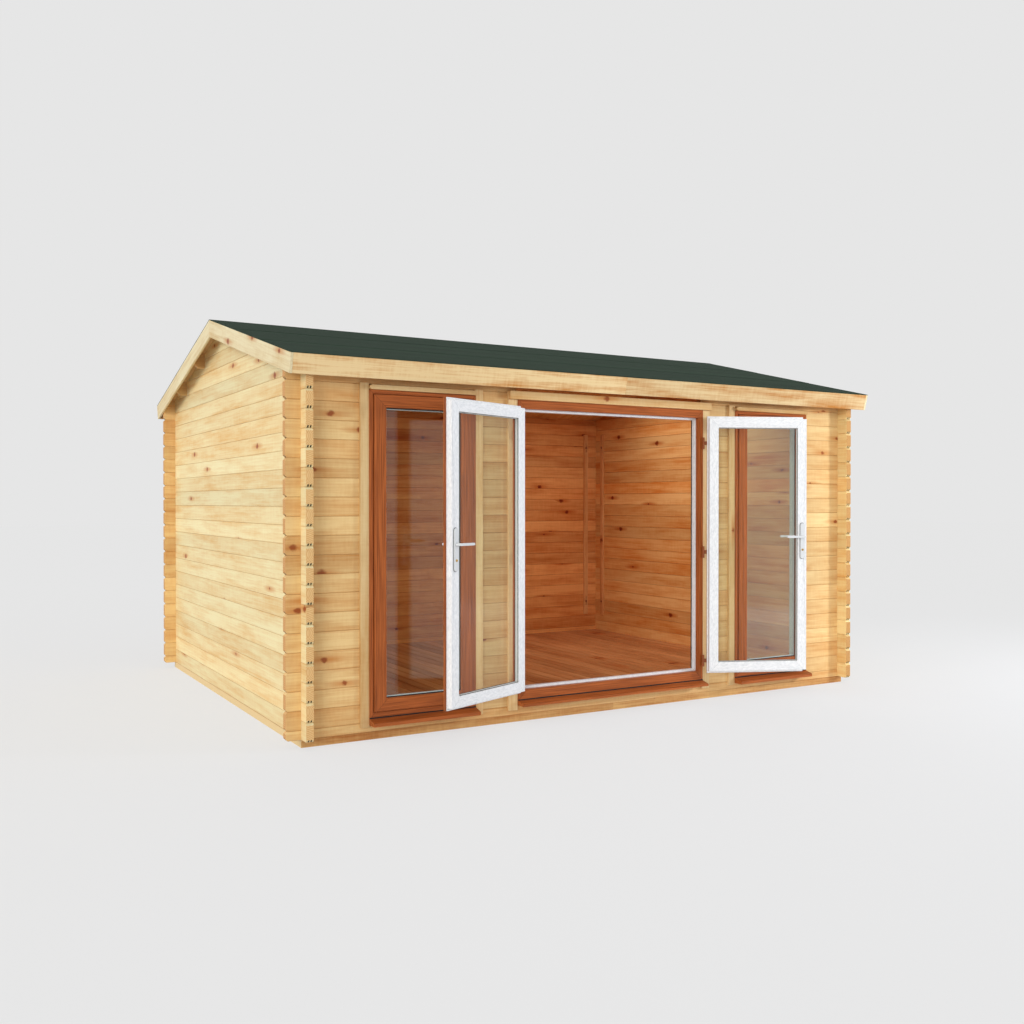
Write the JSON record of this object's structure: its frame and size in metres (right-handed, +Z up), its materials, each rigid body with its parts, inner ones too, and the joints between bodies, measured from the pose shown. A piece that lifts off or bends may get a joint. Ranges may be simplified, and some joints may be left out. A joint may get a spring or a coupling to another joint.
{
  "type": "garden office",
  "caption": "Log cabin garden office with crossing log corners, low felted gable roof, tall windows and outward opening glazed double doors with lever handles.",
  "frame": {"origin": "on the ground, under the middle of the plan of the log walls, at the middle joist's underside", "axes": "+X to the right along the front, +Y from the front to the back, +Z up"},
  "size_m": [4.534, 3.8881, 2.6657],
  "materials": {
    "pine_logs": "planed pine, clear oiled",
    "treated_timber": "sawn softwood",
    "floor_boards": "planed pine boards",
    "roof_timber": "planed pine",
    "roof_boards": "planed pine, stained honey",
    "pine_trim": "planed pine",
    "roofing_felt": "mineral felt, dark green",
    "oak_pvc": "golden oak foil, satin",
    "white_pvc": "white foil, faint grain",
    "clear_glass": "clear double glazing",
    "brown_hinges": "satin brown paint",
    "white_handles": "white satin paint"
  },
  "bodies": {
    "cabin": {"bearers": "treated_timber", "floor_joists": "treated_timber", "floor": "floor_boards", "front_wall_bottom_log": "pine_logs", "front_wall_left": "pine_logs", "front_wall_mid_left": "pine_logs", "front_wall_mid_right": "pine_logs", "front_wall_right": "pine_logs", "front_wall_top": "pine_logs", "back_wall": "pine_logs", "left_wall": "pine_logs", "right_wall": "pine_logs", "left_gable": "pine_logs", "right_gable": "pine_logs", "purlins": "roof_timber", "roof_deck": "roof_timber", "roof_felt": "roofing_felt", "front_fascia": "roof_boards", "rear_fascia": "roof_boards", "left_bargeboards": "roof_boards", "right_bargeboards": "roof_boards", "door_frame_outer": "oak_pvc", "door_frame_inner": "white_pvc", "door_sill": "oak_pvc", "door_trim": "pine_trim", "frame_hinges": "brown_hinges", "left_window_frame": "oak_pvc", "left_window_inner": "white_pvc", "right_window_frame": "oak_pvc", "right_window_inner": "white_pvc", "window_glass": "clear_glass", "window_sills": "oak_pvc", "window_trim": "pine_trim", "storm_battens": "pine_trim"},
    "left_door": {"left_leaf_outer": "oak_pvc", "left_leaf_inner": "white_pvc", "left_leaf_glass": "clear_glass", "left_leaf_hinges": "brown_hinges", "left_handle_plates": "white_handles"},
    "right_door": {"right_leaf_outer": "oak_pvc", "right_leaf_inner": "white_pvc", "right_leaf_glass": "clear_glass", "right_leaf_hinges": "brown_hinges", "right_handle_plates": "white_handles"},
    "left_handle": {"left_lever": "white_handles"},
    "right_handle": {"right_lever": "white_handles"}
  },
  "joints": [
    {"name": "left_door_hinge", "type": "hinge", "parent": "cabin", "child": "left_door", "pos_m": [-0.74, -1.704, 1.05], "axis": [0, 0, -1], "range_deg": [-157, 15]},
    {"name": "right_door_hinge", "type": "hinge", "parent": "cabin", "child": "right_door", "pos_m": [0.74, -1.704, 1.05], "axis": [0, 0, 1], "range_deg": [-157, 15]},
    {"name": "left_handle_turn", "type": "hinge", "parent": "left_door", "child": "left_handle", "pos_m": [-1.36946, -2.01899, 1.148], "axis": [-0.3907, 0.9205, 0], "range_deg": [-40, 40], "stiffness_Nm_per_rad": 1.5},
    {"name": "right_handle_turn", "type": "hinge", "parent": "right_door", "child": "right_handle", "pos_m": [1.36946, -2.01899, 1.148], "axis": [-0.3907, -0.9205, 0], "range_deg": [-40, 40], "stiffness_Nm_per_rad": 1.5}
  ]
}
